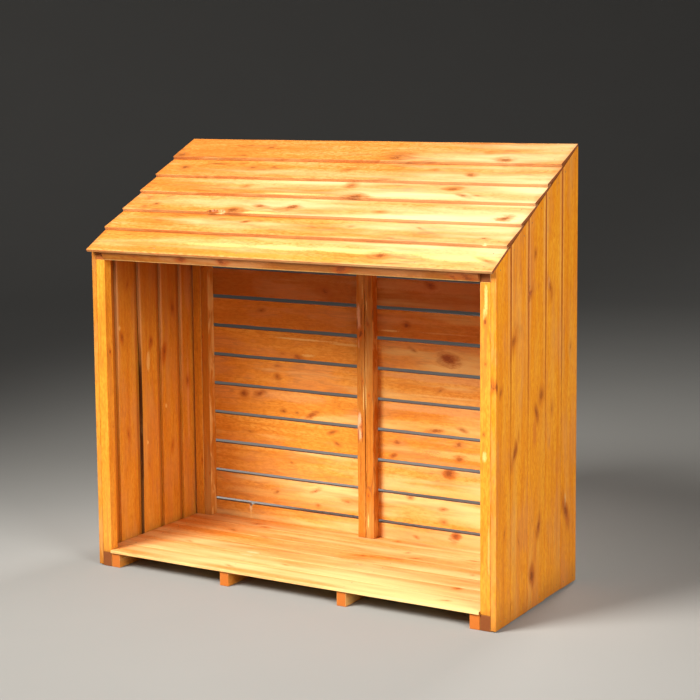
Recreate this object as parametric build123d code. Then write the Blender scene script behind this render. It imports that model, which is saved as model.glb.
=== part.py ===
from build123d import *
import os
os.makedirs("parts", exist_ok=True)

# Open-fronted timber log store with a lean-to roof.
# Millimetres, +Z up, the open front faces -Y.  The origin is the middle of
# the footprint at floor level.  Inside this file the working Y zero is the
# front face of the front posts; everything is moved by Y_MID at the end.

# ---------------------------------------------------------------- overall
WIDTH = 1870.0            # over the outer faces of the side cladding
WALL_DEPTH = 751.0        # front edge to rear edge of the side cladding
RAIL_H = 61.0             # height of the bottom rails and floor bearers

# ---------------------------------------------------------------- timber
CLAD_T = 22.0             # side boards, thick edge
CLAD_TIP = 6.0            # side boards, thin edge
REBATE_T = 8.0            # depth of the step that takes the next thin edge
REBATE_GAP = 1.5          # shadow gap left at each outside joint
POST = 44.0               # square section of posts and rails
BACK_T = 20.0             # back boards
BACK_Y = 726.0            # front face of the back boards
# underside and top of each back board; no two gaps are quite the same
BACK_BOARDS = ((17.5, 139.5), (150.5, 273.5), (285.0, 407.5), (420.5, 542.0),
               (554.0, 675.2), (687.0, 808.0), (820.5, 940.5), (953.5, 1073.0),
               (1086.0, 1207.5), (1218.0, 1338.0), (1348.0, 1468.5),
               (1481.0, 1601.5), (1614.0, 1734.5))
FLOOR_T = 12.0
FLOOR_FRONT = -9.0        # the front floor board stands a little proud
FLOOR_BOARDS = 6
FLOOR_GAP = 1.2
BEARER_W = 43.0
BEARER_X = (-846.5, -290.0, 266.0, 846.5)
BATTEN = 40.5             # width of the upright battens of the back
BACK_JOINT_X = -14.5      # joint between the two middle battens

# ---------------------------------------------------------------- roof
ROOF_FRONT_Y = -30.5      # lower front corner of the roof, level with the
ROOF_FRONT_Z = 1345.3     # plane of the rail tops
ROOF_BACK_Y = 751.0
ROOF_PITCH = 29.07        # degrees
FIRST_T1, FIRST_T0 = 12.0, 10.5   # lowest board, flat on the rails
ROOF_T1 = 14.0            # other roof boards, thick lower edge
ROOF_T0 = 9.0             # other roof boards, thin upper edge
ROOF_BOARD_W = 160.0
ROOF_STARTS = (0.0, 148.5, 292.5, 435.0, 566.5, 717.0)   # along the slope

HEADER_START = 7.4        # header behind the roof's lower edge, along the slope

# front edges of the side boards (inside joints), front to back
LEFT_FRONTS = (0.0, 131.0, 286.0, 440.0, 588.0)
RIGHT_FRONTS = (0.0, 114.0, 270.0, 430.0, 584.0)
CLAD_LAP = 12.0
# clearance under each side board, front to back
LEFT_FEET = (5.0, 6.0, 4.0, 7.0, 5.0)
RIGHT_FEET = (4.0, 5.0, 6.0, 9.0, 7.0)

# ---------------------------------------------------------------- derived
from math import cos, sin, radians

X1 = WIDTH / 2                       # outer face of the side walls
X0 = X1 - CLAD_T                     # outer face of the frame
XI = X0 - POST                       # inner face of the frame
YB = BACK_Y
YP = YB - POST                       # front face of the rear posts

CT, ST = cos(radians(ROOF_PITCH)), sin(radians(ROOF_PITCH))
ROOF_LEN = (ROOF_BACK_Y - ROOF_FRONT_Y) / CT


def roof_pt(s, n):
    """Point s up the slope and n above the top of the rails, as (y, z)."""
    return (ROOF_FRONT_Y + s * CT - n * ST, ROOF_FRONT_Z + s * ST + n * CT)


def rail_z(y, n=0.0):
    """Height at depth y of the plane n above the top of the rails."""
    return ROOF_FRONT_Z + n / CT + (y - ROOF_FRONT_Y) * ST / CT


Y_MIN = roof_pt(0, FIRST_T1)[0]
Y_MAX = roof_pt(ROOF_LEN, 0)[0]
Y_MID = (Y_MIN + Y_MAX) / 2


def block(xa, xb, ya, yb, za, zb):
    return Pos((xa + xb) / 2, (ya + yb) / 2, (za + zb) / 2) * Box(
        abs(xb - xa), abs(yb - ya), abs(zb - za))


def prism_yz(pts, xa, xb):
    xa, xb = min(xa, xb), max(xa, xb)
    face = make_face(Polyline(*[(xa, y, z) for y, z in pts], close=True))
    return extrude(face, amount=xb - xa, dir=(1, 0, 0))


def prism_xy(pts, za, zb):
    face = make_face(Polyline(*[(x, y, za) for x, y in pts], close=True))
    return extrude(face, amount=zb - za, dir=(0, 0, 1))


def save(name, *solids):
    solids = [Pos(0, -Y_MID, 0) * s for s in solids]
    shape = solids[0] if len(solids) == 1 else Compound(children=solids)
    shape.label = name
    export_step(shape, f"parts/{name}.step")


# everything below the plane of the rail tops
under_roof = prism_yz(
    [(-200, -100), (1000, -100), (1000, rail_z(1000)), (-200, rail_z(-200))],
    -1200, 1200)

# ---------------------------------------------------------------- side frames
for side, sgn in (("left", -1), ("right", 1)):
    # bottom rail, front to back on the ground
    save(f"{side}_bottom_rail", block(sgn * XI, sgn * X0, 0, YB, 0, RAIL_H))
    # sloping top rail with plumb-cut ends
    save(f"{side}_top_rail", prism_yz(
        [(0, rail_z(0, -POST)), (YB, rail_z(YB, -POST)),
         (YB, rail_z(YB)), (0, rail_z(0))], sgn * XI, sgn * X0))
    # posts, heads cut to the slope
    for name, ya in (("front", 0.0), ("rear", YP)):
        yb = ya + POST
        save(f"{side}_{name}_post", prism_yz(
            [(ya, RAIL_H), (yb, RAIL_H),
             (yb, rail_z(yb, -POST)), (ya, rail_z(ya, -POST))],
            sgn * XI, sgn * X0))

# ---------------------------------------------------------------- side cladding
for side, sgn, fronts, feet in (("left", -1, LEFT_FRONTS, LEFT_FEET),
                                ("right", 1, RIGHT_FRONTS, RIGHT_FEET)):
    ends = [f + CLAD_LAP for f in fronts[1:]] + [WALL_DEPTH]
    for i, (ya, yb, foot) in enumerate(zip(fronts, ends, feet)):
        pts = [(X0, ya)]
        if i == 0:
            pts += [(X1, ya)]
        else:
            lip = ends[i - 1] + REBATE_GAP
            pts += [(X1 - REBATE_T, ya), (X1 - REBATE_T, lip), (X1, lip)]
        pts += [(X1, yb), (X1 - CLAD_TIP, yb)]
        pts = [(sgn * x, y) for x, y in pts]
        board = prism_xy(pts, foot, 1900.0) & under_roof
        save(f"{side}_side_board_{i + 1}", board)

# ---------------------------------------------------------------- back
for i, (za, zb) in enumerate(BACK_BOARDS):
    save(f"back_board_{i + 1:02d}", block(-X0, X0, YB, YB + BACK_T, za, zb))

# rail under the roof across the back, top corner touching the slope
REAR_RAIL_TOP = rail_z(YP)
save("rear_top_rail", block(-XI, XI, YP, YB, REAR_RAIL_TOP - POST, REAR_RAIL_TOP))

# upright battens of the back: one at each end, two side by side in the middle
FLOOR_TOP = RAIL_H + FLOOR_T
for name, xa in (("back_batten_left", -XI + 0.3),
                 ("centre_post_left", BACK_JOINT_X - 0.2 - BATTEN),
                 ("centre_post_right", BACK_JOINT_X + 0.2),
                 ("back_batten_right", XI - 0.3 - BATTEN)):
    save(name, block(xa, xa + BATTEN, YP, YB, FLOOR_TOP, REAR_RAIL_TOP - POST))

# ---------------------------------------------------------------- header
# square to the slope, its top level with the rail tops
_h = HEADER_START
save("front_header", prism_yz(
    [roof_pt(_h, 0), roof_pt(_h + POST, 0), roof_pt(_h + POST, -POST),
     roof_pt(_h, -POST)], -XI, XI))

# ---------------------------------------------------------------- roof
prev = None
for i, s in enumerate(ROOF_STARTS):
    end = min(s + ROOF_BOARD_W, ROOF_LEN) if i < len(ROOF_STARTS) - 1 else ROOF_LEN
    t1, t0 = (ROOF_T1, ROOF_T0) if i else (FIRST_T1, FIRST_T0)
    lift = 0.0
    if prev:
        # rest on the thin edge of the board below
        s_prev, e_prev, top, thin = prev
        at_start = top + (thin - top) * (s - s_prev) / (e_prev - s_prev)
        at_end = thin * (end - s) / (end - e_prev)
        lift = max(at_start, at_end) + 0.05
    prev = (s, end, lift + t1, t0)
    save(f"roof_board_{i + 1}", prism_yz(
        [roof_pt(s, lift), roof_pt(end, 0), roof_pt(end, t0),
         roof_pt(s, lift + t1)], -X1, X1))
    print("roof board", i + 1, "from", s, "to", round(end, 1), "lift", round(lift, 2))

# ---------------------------------------------------------------- floor
pitch = (YB - FLOOR_FRONT) / FLOOR_BOARDS
boards = []
for i in range(FLOOR_BOARDS):
    ya = FLOOR_FRONT + i * pitch + (FLOOR_GAP / 2 if i else 0)
    yb = FLOOR_FRONT + (i + 1) * pitch - (FLOOR_GAP / 2 if i < FLOOR_BOARDS - 1 else 0)
    xn, xw = XI - 1, X0 - 2
    if i == 0:                       # notched round the front posts
        yn = POST + 1
        pts = [(-xn, ya), (xn, ya), (xn, yn), (xw, yn), (xw, yb),
               (-xw, yb), (-xw, yn), (-xn, yn)]
    elif i == FLOOR_BOARDS - 1:      # notched round the rear posts
        yn = YP - 1
        pts = [(-xw, ya), (xw, ya), (xw, yn), (xn, yn), (xn, yb),
               (-xn, yb), (-xn, yn), (-xw, yn)]
    else:
        pts = [(-xw, ya), (xw, ya), (xw, yb), (-xw, yb)]
    boards.append(prism_xy(pts, RAIL_H, FLOOR_TOP))
save("floor_deck", *boards)

# bearers front to back under the floor
save("floor_bearers", *[
    block(x - BEARER_W / 2, x + BEARER_W / 2, 0, YB, 0, RAIL_H) for x in BEARER_X])

print("Y_MID", round(Y_MID, 3), "roof length", round(ROOF_LEN, 2),
      "rear rail top", round(REAR_RAIL_TOP, 1),
      "Y", round(Y_MIN - Y_MID, 2), round(Y_MAX - Y_MID, 2),
      "top", round(roof_pt(ROOF_LEN, ROOF_T0)[1], 2))
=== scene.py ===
import math

import bmesh
import bpy
import numpy as np
from mathutils import Matrix, Vector


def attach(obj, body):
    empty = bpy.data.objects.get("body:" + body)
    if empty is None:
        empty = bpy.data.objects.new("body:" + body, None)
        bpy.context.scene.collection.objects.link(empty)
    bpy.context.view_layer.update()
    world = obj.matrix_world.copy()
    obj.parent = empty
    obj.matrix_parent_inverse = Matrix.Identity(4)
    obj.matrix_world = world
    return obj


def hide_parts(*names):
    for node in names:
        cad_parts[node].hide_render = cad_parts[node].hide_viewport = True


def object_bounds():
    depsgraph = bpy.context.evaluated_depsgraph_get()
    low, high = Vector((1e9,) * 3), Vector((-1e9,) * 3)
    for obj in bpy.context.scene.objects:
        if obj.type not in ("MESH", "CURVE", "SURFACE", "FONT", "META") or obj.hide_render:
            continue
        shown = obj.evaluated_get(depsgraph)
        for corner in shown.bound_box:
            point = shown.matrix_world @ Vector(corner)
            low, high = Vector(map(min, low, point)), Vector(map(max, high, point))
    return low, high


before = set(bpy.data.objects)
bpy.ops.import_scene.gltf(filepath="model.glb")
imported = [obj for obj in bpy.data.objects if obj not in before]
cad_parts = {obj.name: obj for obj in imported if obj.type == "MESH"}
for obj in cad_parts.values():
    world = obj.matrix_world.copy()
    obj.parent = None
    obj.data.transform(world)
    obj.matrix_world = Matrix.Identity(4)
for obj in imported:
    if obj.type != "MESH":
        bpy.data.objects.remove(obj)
cad_lo, cad_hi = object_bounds()

# ------------------------------------------------------------------ directions
# Y_MID turns a depth behind the front posts into the frame's own Y.
Y_MID = 0.357335
SLOPE = math.radians(29.07)
CT, ST = math.cos(SLOPE), math.sin(SLOPE)
X, Y, Z = Vector((1, 0, 0)), Vector((0, 1, 0)), Vector((0, 0, 1))
UP_ROOF, OFF_ROOF = Vector((0, CT, ST)), Vector((0, -ST, CT))
ROOF_LOW = Vector((0, -0.0305 - Y_MID, 1.3453))
ROOF_STARTS = (0.0, 0.1485, 0.2925, 0.435, 0.5665, 0.717)


def smooth(t):
    t = np.clip(t, 0.0, 1.0)
    return t * t * (3 - 2 * t)


def band(x, a, b, soft):
    """1 between a and b, 0 outside, with a soft edge."""
    return smooth((x - a) / soft + 0.5) * smooth((b - x) / soft + 0.5)


def waves(rng, count, low, high, *coords):
    """A smooth wandering value in about -1..1, from a few sine waves over the given coordinates (each with its own
    range of frequencies, in cycles per metre)."""
    total = np.zeros_like(coords[0])
    weight = 0.0
    for k in range(count):
        phase = np.full_like(coords[0], rng.uniform(0, 2 * math.pi))
        for c, f0, f1 in zip(coords, low, high):
            phase = phase + 2 * math.pi * c * rng.uniform(f0, f1) * rng.choice((-1, 1))
        a = rng.uniform(0.6, 1.0)
        total = total + a * np.sin(phase)
        weight += a * a
    return total / math.sqrt(weight)


# ------------------------------------------------------------------ timber meshes
def solids_of(node):
    """The CAD node's solids as clean closed meshes, one bmesh each, in order along X and then Y."""
    whole = bmesh.new()
    whole.from_mesh(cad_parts[node].data)
    bmesh.ops.remove_doubles(whole, verts=whole.verts[:], dist=2e-5)
    bmesh.ops.dissolve_limit(
        whole, angle_limit=math.radians(0.5), verts=whole.verts[:], edges=whole.edges[:]
    )
    left, groups = set(whole.verts), []
    while left:
        stack, group = [left.pop()], []
        while stack:
            v = stack.pop()
            group.append(v)
            for e in v.link_edges:
                o = e.other_vert(v)
                if o in left:
                    left.remove(o)
                    stack.append(o)
        groups.append(group)
    out = []
    for group in groups:
        bm = bmesh.new()
        made = {v: bm.verts.new(v.co) for v in group}
        for f in {f for v in group for f in v.link_faces}:
            bm.faces.new([made[v] for v in f.verts])
        bm.normal_update()
        bmesh.ops.recalc_face_normals(bm, faces=bm.faces[:])
        mid = sum((v.co for v in bm.verts), Vector()) / len(bm.verts)
        out.append((round(mid.x, 3), round(mid.y, 3), bm))
    whole.free()
    out.sort(key=lambda r: (r[0], r[1]))
    return [r[2] for r in out]


def cut(bm, point, normal, faces=None):
    geom = bm.verts[:] + bm.edges[:] + bm.faces[:]
    if faces is not None:
        keep = [f for f in bm.faces if faces(f.calc_center_median())]
        if not keep:
            return
        geom = list({v for f in keep for v in f.verts}) + list({e for f in keep for e in f.edges}) + keep
    bmesh.ops.bisect_plane(bm, geom=geom, dist=1e-6, plane_co=point, plane_no=normal)


def lined(low, high, step):
    """Evenly spaced values strictly between low and high, about step apart."""
    n = max(1, int(round((high - low) / step)))
    return [low + (high - low) * i / n for i in range(1, n)]


class Timber:
    """One length of timber: its mesh, and its own directions along the grain (L), across (W) and through (T)."""

    def __init__(self, name, node, bm, along, across, seed, slot, round_edge=0.0015, step=0.016, across_step=0.014,
                 soft_ends=True):
        self.name, self.node, self.bm, self.slot, self.seed = name, node, bm, slot, seed
        self.L, self.W = along.normalized(), across.normalized()
        self.T = self.L.cross(self.W)
        self.rng = np.random.default_rng(seed)
        co = [v.co for v in bm.verts]
        spans = [[min(v.dot(a) for v in co), max(v.dot(a) for v in co)] for a in (self.L, self.W, self.T)]
        self.spans = spans
        mid = [(a + b) / 2 for a, b in spans]
        self.half = [(b - a) / 2 for a, b in spans]
        self.origin = self.L * mid[0] + self.W * mid[1] + self.T * mid[2]
        self.box_lo = Vector([min(v[i] for v in co) for i in range(3)])
        self.box_hi = Vector([max(v[i] for v in co) for i in range(3)])
        edges = [
            e for e in bm.edges
            if len(e.link_faces) == 2 and e.is_convex and e.calc_face_angle(0) > math.radians(25)
        ]
        bmesh.ops.bevel(
            bm, geom=edges, offset=round_edge, offset_type="OFFSET", segments=2, profile=0.5, affect="EDGES",
            clamp_overlap=True,
        )
        bmesh.ops.remove_doubles(bm, verts=bm.verts[:], dist=2e-5)
        for w in lined(*spans[1], across_step):
            cut(bm, self.W * w, self.W)
        if spans[2][1] - spans[2][0] > 0.03:
            for t in lined(*spans[2], across_step):
                cut(bm, self.T * t, self.T)
        for l in lined(*spans[0], step):
            cut(bm, self.L * l, self.L)

    def at(self, p):
        """A point of the frame in this timber's own (l, w, t), from its middle."""
        d = Vector(p) - self.origin
        return d.dot(self.L), d.dot(self.W), d.dot(self.T)

    def finer(self, place, reach, step):
        """More cuts round a place, for a chip or a split. place and reach are (l, w) and their half widths."""
        inside = lambda c: (
            abs(self.at(c)[0] - place[0]) < reach[0] * 1.25 and abs(self.at(c)[1] - place[1]) < reach[1] * 1.25
        )
        for axis, k in ((self.W, 1), (self.L, 0)):
            for v in lined(place[k] - reach[k], place[k] + reach[k], step[k]):
                cut(self.bm, self.origin + axis * v, axis, inside)

    def read(self):
        self.bm.verts.ensure_lookup_table()
        self.bm.normal_update()
        co = np.array([v.co for v in self.bm.verts], float)
        no = np.array([v.normal for v in self.bm.verts], float)
        d = co - np.array(self.origin)
        axes = np.array([self.L, self.W, self.T])
        return co, no, d @ axes.T

    def write(self, co):
        for v, c in zip(self.bm.verts, co):
            v.co = c

    def shape(self, face=0.0004, edge=0.0006, cup=0.0, bow=0.0, twist=0.0, extra=None):
        """Gives the sawn piece its small unevenness. face sinks the surface by up to that much, edge is how far the long
        edges wander, cup and bow bend it through its thickness, extra(l, w, t, normals) returns more (l, w, t) moves."""
        co, no, q = self.read()
        l, w, t = q.T
        hl, hw, ht = self.half
        rng = self.rng
        axes = np.array([self.L, self.W, self.T])
        flat = np.abs(no @ axes[0]) < 0.5
        wander = 0.5 + 0.5 * waves(rng, 5, (0.8, 4, 4), (5, 22, 22), l, w, t)
        wander = np.clip(wander, 0, 1) + 0.25 * waves(rng, 6, (6, 15, 15), (25, 60, 60), l, w, t) * 0.5
        move = -no * (np.clip(wander, 0, 1.15) * face * np.where(flat, 1.0, 0.3))[:, None]
        side = w / hw
        strong = np.abs(side) ** 3
        drift_hi = waves(rng, 4, (0.4,), (2.2,), l) * 0.8 + waves(rng, 4, (4,), (14,), l) * 0.3
        drift_lo = waves(rng, 4, (0.4,), (2.2,), l) * 0.8 + waves(rng, 4, (4,), (14,), l) * 0.3
        local = np.zeros_like(q)
        local[:, 1] -= np.where(side > 0, np.clip(0.6 + 0.5 * drift_hi, 0, 2) * strong * edge, 0)
        local[:, 1] += np.where(side < 0, np.clip(0.6 + 0.5 * drift_lo, 0, 2) * strong * edge, 0)
        local[:, 2] += cup * (1 - (w / hw) ** 2) + bow * (1 - (l / hl) ** 2) + twist * (l / hl) * (w / hw)
        if extra is not None:
            more = extra(l, w, t, no @ axes.T)
            for k in range(3):
                local[:, k] += more[k]
        co = co + move + local @ axes
        co = np.minimum(np.maximum(co, np.array(cad_lo)), np.array(cad_hi))
        self.write(co)

    def make(self, material, stands=True):
        bm = self.bm
        bmesh.ops.dissolve_degenerate(bm, edges=bm.edges[:], dist=1e-5)
        # a corner with only two edges would be split into two triangles lying back to back
        bmesh.ops.dissolve_verts(bm, verts=[v for v in bm.verts if len(v.link_edges) == 2])
        bm.normal_update()
        me = bpy.data.meshes.new(self.name)
        bm.to_mesh(me)
        bm.free()
        me.polygons.foreach_set("use_smooth", np.ones(len(me.polygons), bool))
        ob = bpy.data.objects.new(self.name, me)
        bpy.context.scene.collection.objects.link(ob)
        me.materials.append(material)
        weigh = ob.modifiers.new("even_normals", "WEIGHTED_NORMAL")
        weigh.keep_sharp = True
        weigh.weight = 50
        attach(ob, "root")
        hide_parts(self.node)
        self.ob = ob
        return ob


# ------------------------------------------------------------------ materials
class Tree:
    """A short way to write a node tree: each call adds a node, and gives back its first output."""

    def __init__(self, name):
        self.mat = bpy.data.materials.new(name)
        self.mat.use_nodes = True
        self.nt = self.mat.node_tree
        self.nt.nodes.clear()

    def add(self, kind, inputs=(), out=0, **props):
        n = self.nt.nodes.new(kind)
        for k, v in props.items():
            setattr(n, k, v)
        for key, v in (inputs.items() if isinstance(inputs, dict) else enumerate(inputs)):
            if v is None:
                continue
            socket = n.inputs[key]
            if isinstance(v, bpy.types.NodeSocket):
                self.nt.links.new(v, socket)
            elif hasattr(socket.default_value, "__len__") and len(socket.default_value) == 4 and len(v) == 3:
                socket.default_value = (*v, 1.0)
            else:
                socket.default_value = v
        return n.outputs[out]

    def math(self, op, a, b=None, c=None, clamp=False):
        return self.add("ShaderNodeMath", (a, b, c), operation=op, use_clamp=clamp)

    def vec(self, op, a, b=None, scale=None, out=0):
        ins = {0: a}
        if b is not None:
            ins[1] = b
        if scale is not None:
            ins["Scale"] = scale
        return self.add("ShaderNodeVectorMath", ins, out=out, operation=op)

    def mul_add(self, a, b, c):
        return self.add("ShaderNodeVectorMath", {0: a, 1: b, 2: c}, operation="MULTIPLY_ADD")

    def noise(self, vector, scale=1.0, detail=2.0, rough=0.5, out=0, distort=0.0):
        return self.add(
            "ShaderNodeTexNoise",
            {"Vector": vector, "Scale": scale, "Detail": detail, "Roughness": rough, "Distortion": distort},
            out=out,
        )

    def remap(self, v, a, b, c=0.0, d=1.0, kind="SMOOTHSTEP"):
        return self.add("ShaderNodeMapRange", {0: v, 1: a, 2: b, 3: c, 4: d}, interpolation_type=kind)

    def mix(self, fac, a, b, kind="MIX"):
        n = self.nt.nodes.new("ShaderNodeMix")
        n.data_type, n.blend_type, n.clamp_factor = "RGBA", kind, True
        for key, v in ((0, fac), (6, a), (7, b)):
            if isinstance(v, bpy.types.NodeSocket):
                self.nt.links.new(v, n.inputs[key])
            elif key == 0:
                n.inputs[0].default_value = v
            else:
                n.inputs[key].default_value = (*v, 1.0) if len(v) == 3 else v
        return n.outputs[2]

    def ramp(self, v, stops, kind="LINEAR"):
        n = self.nt.nodes.new("ShaderNodeValToRGB")
        n.color_ramp.interpolation = kind
        els = n.color_ramp.elements
        while len(els) < len(stops):
            els.new(0.5)
        for e, (p, c) in zip(els, stops):
            e.position = p
            e.color = (c, c, c, 1) if isinstance(c, (int, float)) else (*c, 1)
        self.nt.links.new(v, n.inputs[0])
        return n.outputs[0]

    def split(self, v):
        n = self.nt.nodes.new("ShaderNodeSeparateXYZ")
        self.nt.links.new(v, n.inputs[0])
        return n.outputs[0], n.outputs[1], n.outputs[2]

    def join(self, x, y, z):
        return self.add("ShaderNodeCombineXYZ", (x, y, z))

    def finish(self, **sockets):
        p = self.nt.nodes.new("ShaderNodeBsdfPrincipled")
        for k, v in sockets.items():
            s = p.inputs[k.replace("_", " ")]
            if isinstance(v, bpy.types.NodeSocket):
                self.nt.links.new(v, s)
            else:
                s.default_value = v
        o = self.nt.nodes.new("ShaderNodeOutputMaterial")
        self.nt.links.new(p.outputs[0], o.inputs[0])
        return self.mat


def srgb(r, g, b):
    """0..255 screen colour to linear."""
    return tuple(((c / 255) / 12.92 if c <= 10.3 else ((c / 255 + 0.055) / 1.055) ** 2.4) for c in (r, g, b))


LIGHT = (0.86, 0.37, 0.062)
MID = (0.78, 0.265, 0.024)
DEEP = (0.62, 0.165, 0.010)
DARK = (0.30, 0.060, 0.005)
KNOT = (0.20, 0.040, 0.005)
PALE = (0.93, 0.66, 0.24)
ROSY = (0.80, 0.40, 0.16)
FRESH = (0.86, 0.60, 0.30)
RUST = (0.62, 0.17, 0.018)


def wood(timber, knots=(), pale=0.25, rings=0.5, streaks=0.5, deep=0.0, spots=(), lines=(), rough=0.52, saw=0.0,
         painted_shade_across=0.0, dirt=0.0, bleach_and_light=(0.0, 0.0), bleach_across=0.0, tint=None, wavy=1.0, knot_core=KNOT, halo=DEEP,
         core_power=0.8, rosy=0.0, painted_edge_shade=0.0, edge_col=DARK, patchy=1.0, speckle=0.4, rubbed=0.5, hairs=0.3, painted_shade_high=None, ends=(srgb(150, 84, 36), srgb(92, 44, 18)), high_end=None):
    """Stained softwood for one timber. Knots are (l, w, radius, strength), spots (l, w, half length, half width,
    strength, colour) and lines (w, half width, strength, colour, l from, l to). deep moves the colour towards the
    darker stain, and painted_shade_across is painted shade that deepens towards one edge. painted_edge_shade is painted
    shade on the faces along the long edges, in edge_col. hairs are fine dark lines of grain, and painted_shade_high is
    (from height, to height, strength) of painted shade up high. bleach_and_light is how far it is paled in the middle,
    and
    how much more towards its high end: weather bleaching together with painted light. high_end is (length, strength,
    colour) of a patch at that end."""
    rng = np.random.default_rng(timber.seed + 5000)
    hl, hw, ht = timber.half
    T = Tree(timber.name)
    at = T.add("ShaderNodeTexCoord", out=3)
    basis = Matrix((timber.L, timber.W, timber.T))
    q = T.add("ShaderNodeMapping", {
        "Vector": at, "Location": tuple(-(basis @ timber.origin)), "Rotation": tuple(basis.to_euler("XYZ")),
    }, vector_type="POINT")
    off = lambda: tuple(rng.uniform(-40, 40, 3))
    ql, qw, qt = T.split(q)
    # the grain wanders, and turns round each knot
    slow = T.noise(T.mul_add(q, (1.3 * wavy, 5, 5), off()), detail=2.0, out=1)
    slow = T.vec("MULTIPLY", T.vec("SUBTRACT", slow, (0.5, 0.5, 0.5)), (0, 0.030 * wavy, 0.030))
    g = T.vec("ADD", q, slow)
    marks = []
    for (kl, kw, kr, ks) in knots:
        d = T.vec("SUBTRACT", g, (kl, kw, 0))
        r = T.vec("LENGTH", T.vec("MULTIPLY", d, (1 / 1.35 / kr, 1 / kr, 0)), out=1)
        near = T.remap(r, 0.0, 4.2, 0.86, 0.0, "SMOOTHERSTEP")
        g = T.vec("SUBTRACT", g, T.vec("SCALE", T.vec("MULTIPLY", d, (0, 1, 0)), scale=near))
        marks.append((d, kr, ks))
    # growth rings about a pith that lies off the board
    pith_w, pith_t = rng.uniform(-0.6, 0.6) * hw, -rng.choice((-1, 1)) * rng.uniform(0.030, 0.075)
    lx, lw, lt = T.split(g)
    drift = T.noise(T.mul_add(q, (0.9, 0, 0), off()), detail=1.0, out=1)
    drift = T.vec("MULTIPLY", T.vec("SUBTRACT", drift, (0.5, 0.5, 0.5)), (0, 0.05, 0.055))
    slope = rng.uniform(-0.012, 0.012)
    centre = T.vec("ADD", drift, T.join(0.0, pith_w, T.math("MULTIPLY_ADD", lx, slope, pith_t)))
    radius = T.vec("LENGTH", T.vec("MULTIPLY", T.vec("SUBTRACT", g, centre), (0, 1, 1)), out=1)
    spacing = rng.uniform(0.0032, 0.0052)
    fine = T.noise(T.mul_add(g, (3, 60, 60), off()), detail=2.0)
    turn = T.math("MULTIPLY_ADD", radius, 1 / spacing, T.math("MULTIPLY", fine, 0.9))
    ring = T.math("POWER", T.math("FRACT", turn), 2.2)
    wide = T.noise(T.join(T.math("MULTIPLY", radius, 60), T.math("MULTIPLY", lx, 0.5), 3.1 * rng.uniform(-5, 5)), detail=1.0)
    # streaks and fibres along the grain, and how unevenly the stain took
    streak = T.noise(T.mul_add(g, (1.4, 34, 34), off()), detail=3.0, rough=0.6)
    fibre = T.noise(T.mul_add(g, (7, 380, 380), off()), detail=2.0, rough=0.6)
    blotch = T.noise(T.mul_add(q, (2.6, 7, 7), off()), detail=3.0, rough=0.55)
    figure = T.noise(T.mul_add(g, (5, 22, 22), off()), detail=3.0, rough=0.65, distort=0.6)
    fleck = T.noise(T.mul_add(q, (45, 130, 130), off()), detail=2.0, rough=0.6)
    mixed = T.math("MULTIPLY_ADD", streak, streaks, T.math("MULTIPLY", blotch, 0.55))
    mixed = T.math("MULTIPLY_ADD", wide, 0.35 * rings, mixed)
    mixed = T.math("MULTIPLY_ADD", figure, 0.28, mixed)
    mixed = T.math("MULTIPLY_ADD", fleck, 0.40, mixed)
    low = 0.5 * (streaks + 0.55 + 0.35 * rings + 0.28 + 0.40)
    shade = T.remap(mixed, low - 0.26, low + 0.26, kind="LINEAR")
    light, mid, dp, pl = LIGHT, MID, DEEP, PALE
    if tint is not None:
        light, mid, dp = (tuple(c * k for c, k in zip(col, tint)) for col in (LIGHT, MID, DEEP))
        pl = tuple(c * (1 + k) / 2 for c, k in zip(PALE, tint))
    colour = T.ramp(shade, [(0.0, light), (0.45, mid), (1.0, dp)])
    colour = T.mix(deep, colour, dp) if deep else colour
    colour = T.mix(T.math("MULTIPLY", ring, 0.42 * rings), colour, dp)
    arcs = T.math("FRACT", T.math("MULTIPLY_ADD", radius, 1 / (spacing * rng.uniform(2.8, 4.2)), T.math("MULTIPLY", fine, 0.5)))
    arcs = T.math("MULTIPLY", T.remap(T.math("ABSOLUTE", T.math("SUBTRACT", arcs, 0.5)), 0.16, 0.02), T.remap(streak, 0.42, 0.62))
    colour = T.mix(T.math("MULTIPLY", arcs, 0.42), colour, RUST)
    colour = T.mix(T.remap(fleck, 0.44, 0.66, 0.0, speckle), colour, dp)
    colour = T.mix(T.remap(fibre, 0.50, 0.78, 0.0, 0.30), colour, DARK)
    if hairs:
        hair = T.noise(T.mul_add(g, (4, 40, 40), off()), detail=1.5)
        hair = T.remap(T.math("ABSOLUTE", T.math("SUBTRACT", hair, 0.5)), 0.045, 0.010)
        hair = T.math("MULTIPLY", hair, T.remap(T.math("MULTIPLY_ADD", figure, 0.5, blotch), 0.74, 0.88, 0.0, hairs))
        colour = T.mix(hair, colour, (0.36, 0.10, 0.014))
    if rosy:
        colour = T.mix(T.remap(T.math("ADD", blotch, T.math("MULTIPLY", figure, 0.4)), 0.66, 0.86, 0.0, rosy), colour, ROSY)
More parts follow.
